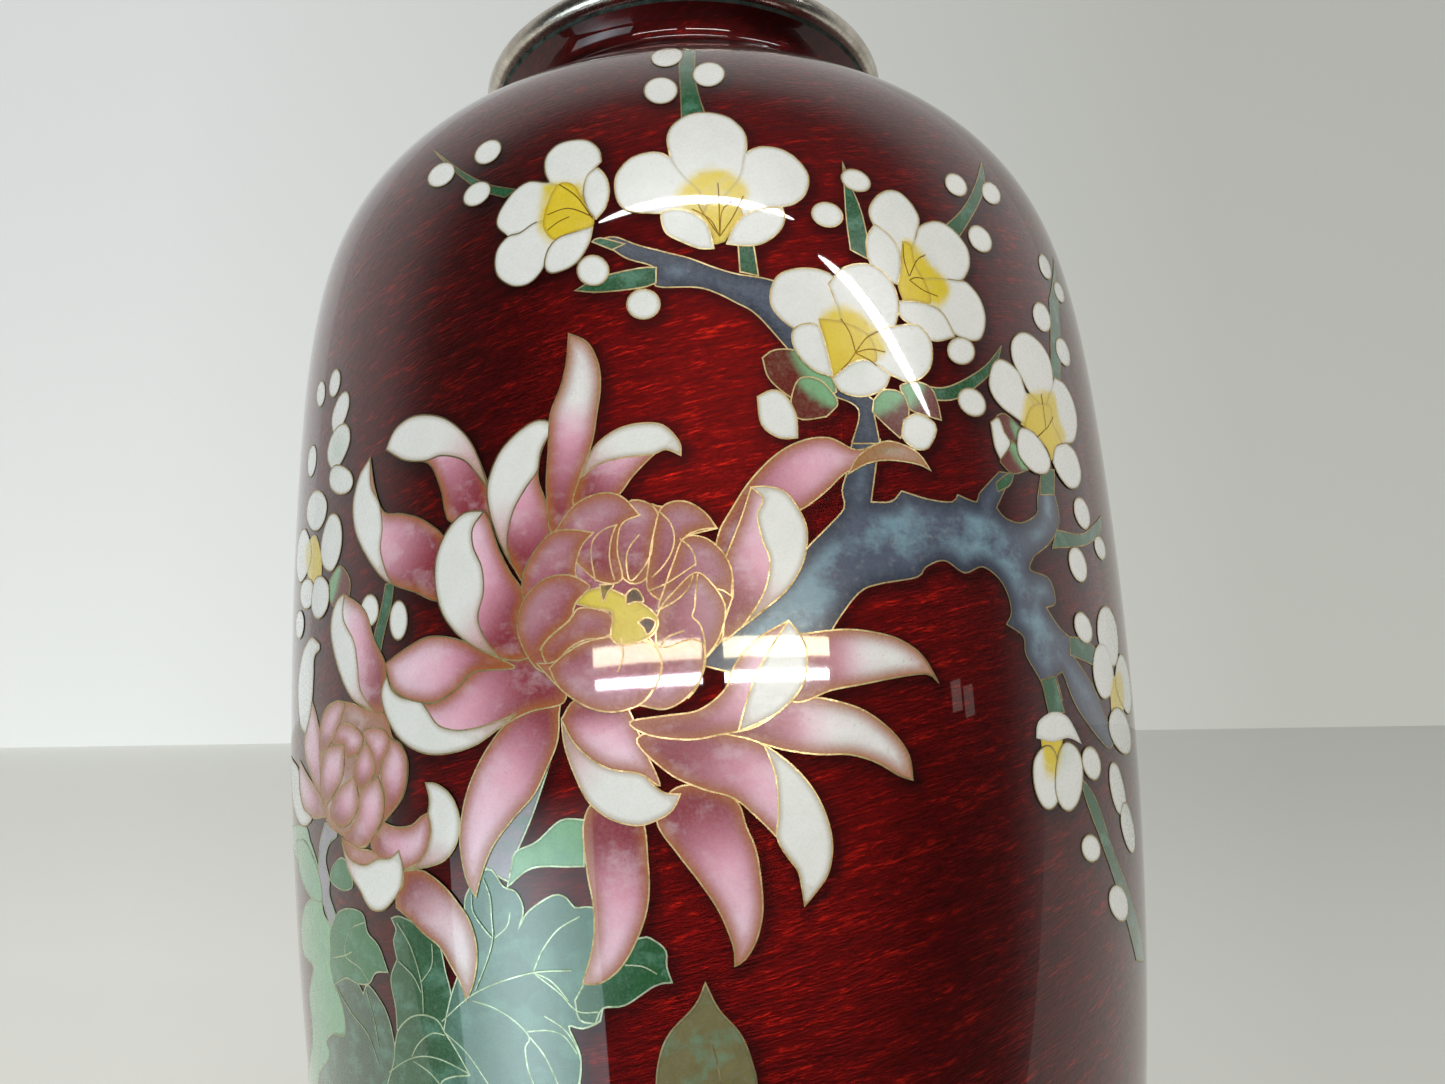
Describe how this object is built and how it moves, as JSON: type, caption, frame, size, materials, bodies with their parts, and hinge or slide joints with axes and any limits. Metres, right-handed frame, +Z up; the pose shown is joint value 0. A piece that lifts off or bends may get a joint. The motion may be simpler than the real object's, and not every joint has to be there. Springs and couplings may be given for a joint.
{
  "type": "cloisonne vase",
  "caption": "Rounded ovoid vase with a short flared neck, metal mouth and foot rings, and flowers in wired enamel cells over silver foil.",
  "frame": {"origin": "centre of the circle on which the foot ring stands", "axes": "+Z up the vase's axis, -Y towards the decorated front, +X to the right seen from the front"},
  "size_m": [0.137, 0.137, 0.2432],
  "materials": {
    "red_enamel": "polished translucent ruby enamel",
    "mouth_rim": "tarnished silver, polished by handling",
    "foot_rim": "tarnished silver",
    "silver_foil": "thin silver foil, seen only through the enamel",
    "copper": "raised copper sheet, covered",
    "counter_enamel": "fired glossy enamel",
    "pink_enamel": "polished opaque pink enamel",
    "white_enamel": "polished opaque white enamel",
    "yellow_enamel": "polished opaque yellow enamel",
    "leaf_enamel": "polished mottled green enamel",
    "bark_enamel": "polished mottled slate-blue enamel",
    "wire": "flat silver wire ground flush with the enamel"
  },
  "bodies": {
    "root": {"base_enamel": "counter_enamel", "base_plate": "copper", "blossom_left": "white_enamel", "blossom_left_heart": "yellow_enamel", "blossom_middle": "white_enamel", "blossom_middle_heart": "yellow_enamel", "blossom_right": "white_enamel", "blossom_right_heart": "yellow_enamel", "blossom_top": "white_enamel", "blossom_top_heart": "yellow_enamel", "blossom_upper_right": "white_enamel", "blossom_upper_right_heart": "yellow_enamel", "branch_lower": "bark_enamel", "branch_upper": "bark_enamel", "bulb": "pink_enamel", "chrysanthemum_wires": "wire", "closed_bud": "leaf_enamel", "closed_bud_wire": "wire", "copper_body": "copper", "foot_rim": "foot_rim", "ground_enamel": "red_enamel", "inner_enamel": "counter_enamel", "leaf_large": "leaf_enamel", "leaf_left": "leaf_enamel", "leaf_left_wire": "wire", "leaf_low": "leaf_enamel", "leaf_low_wire": "wire", "lower_plum_wires": "wire", "mouth_rim": "mouth_rim", "petal_boat": "white_enamel", "petal_drop": "pink_enamel", "petal_fall_right": "pink_enamel", "petal_fall_tip": "pink_enamel", "petal_hook_left": "pink_enamel", "petal_hook_top": "pink_enamel", "petal_left_bowl": "pink_enamel", "petal_left_crescent": "white_enamel", "petal_left_edge": "pink_enamel", "petal_low_fall": "pink_enamel", "petal_low_left": "pink_enamel", "petal_low_middle": "pink_enamel", "petal_right_low": "pink_enamel", "petal_right_mid": "pink_enamel", "petal_right_top": "pink_enamel", "petal_right_white": "white_enamel", "petal_ring_upper": "pink_enamel", "petal_tall": "pink_enamel", "petal_upper_left": "pink_enamel", "red_cell_1": "red_enamel", "red_cell_2": "red_enamel", "red_cell_3": "red_enamel", "red_cell_4": "red_enamel", "silver_foil": "silver_foil", "small_bud": "pink_enamel", "small_chrysanthemum_wires": "wire", "small_crescent": "white_enamel", "small_fallen_petal": "pink_enamel", "upper_plum_wires": "wire"}
  },
  "joints": []
}
